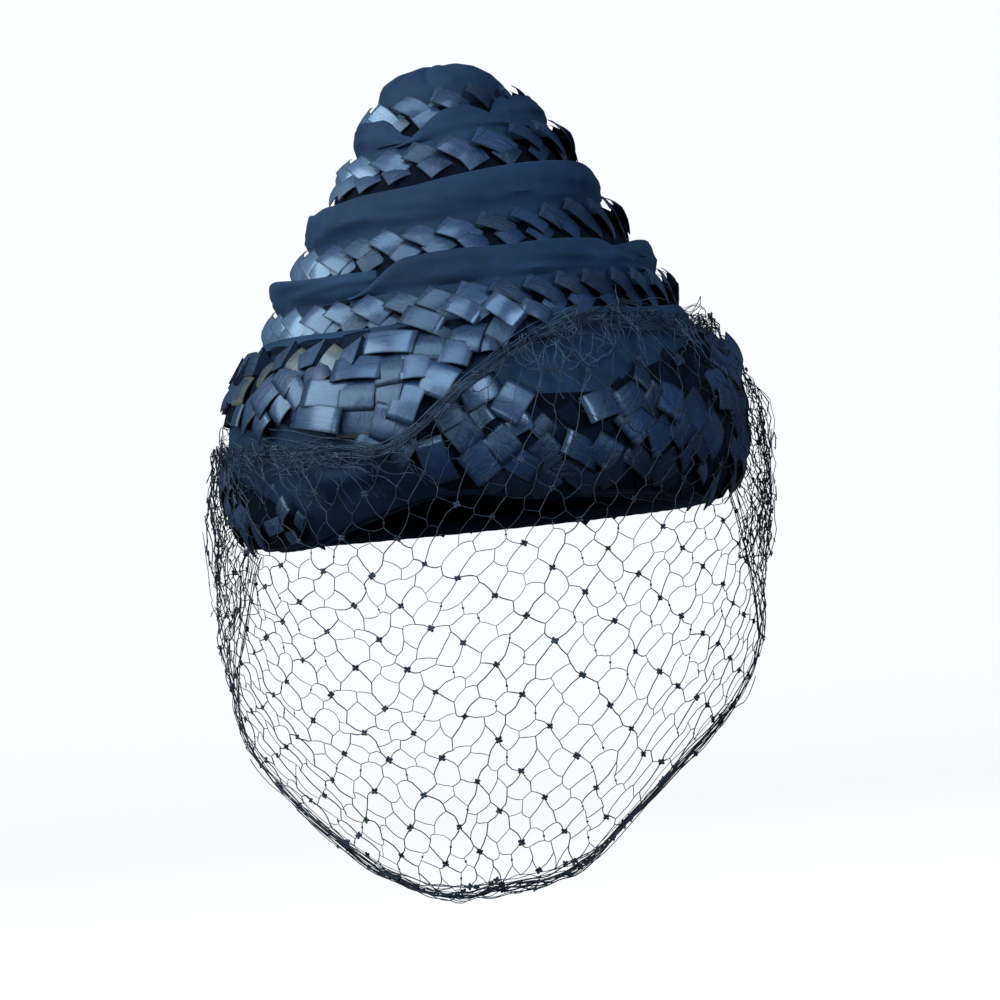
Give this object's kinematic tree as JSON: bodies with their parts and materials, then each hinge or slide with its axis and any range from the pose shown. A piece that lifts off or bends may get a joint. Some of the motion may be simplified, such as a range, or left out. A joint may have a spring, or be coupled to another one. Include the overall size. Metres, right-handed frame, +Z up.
{
  "type": "veiled turban hat",
  "caption": "Tall beehive turban hat of plaited straw rings and cloth folds over a bulging crossed cuff, with an open net veil hanging over the face.",
  "frame": {"origin": "middle of the head opening, in the plane of the rim at its sides", "axes": "+Z up the crown, -Y towards the front, over the face, +X towards the wearer's left"},
  "size_m": [0.221, 0.2474, 0.3206],
  "materials": {
    "straw": "glossy black plaited straw strip",
    "cloth": "matt navy-black twill",
    "net": "black knotted thread"
  },
  "bodies": {
    "root": {"tip_cap": "cloth", "tip_braid": "straw", "tip_fold_front": "cloth", "tip_fold_back": "cloth", "braid_row_1": "straw", "fold_1": "cloth", "braid_row_2": "straw", "fold_2_front": "cloth", "fold_2_back": "cloth", "braid_row_3": "straw", "fold_3": "cloth", "cuff_cloth": "cloth", "cuff_braid_left": "straw", "cuff_braid_right": "straw", "rim_binding": "cloth", "veil_gather": "net", "veil_net": "net", "veil_edge": "net"}
  },
  "joints": []
}
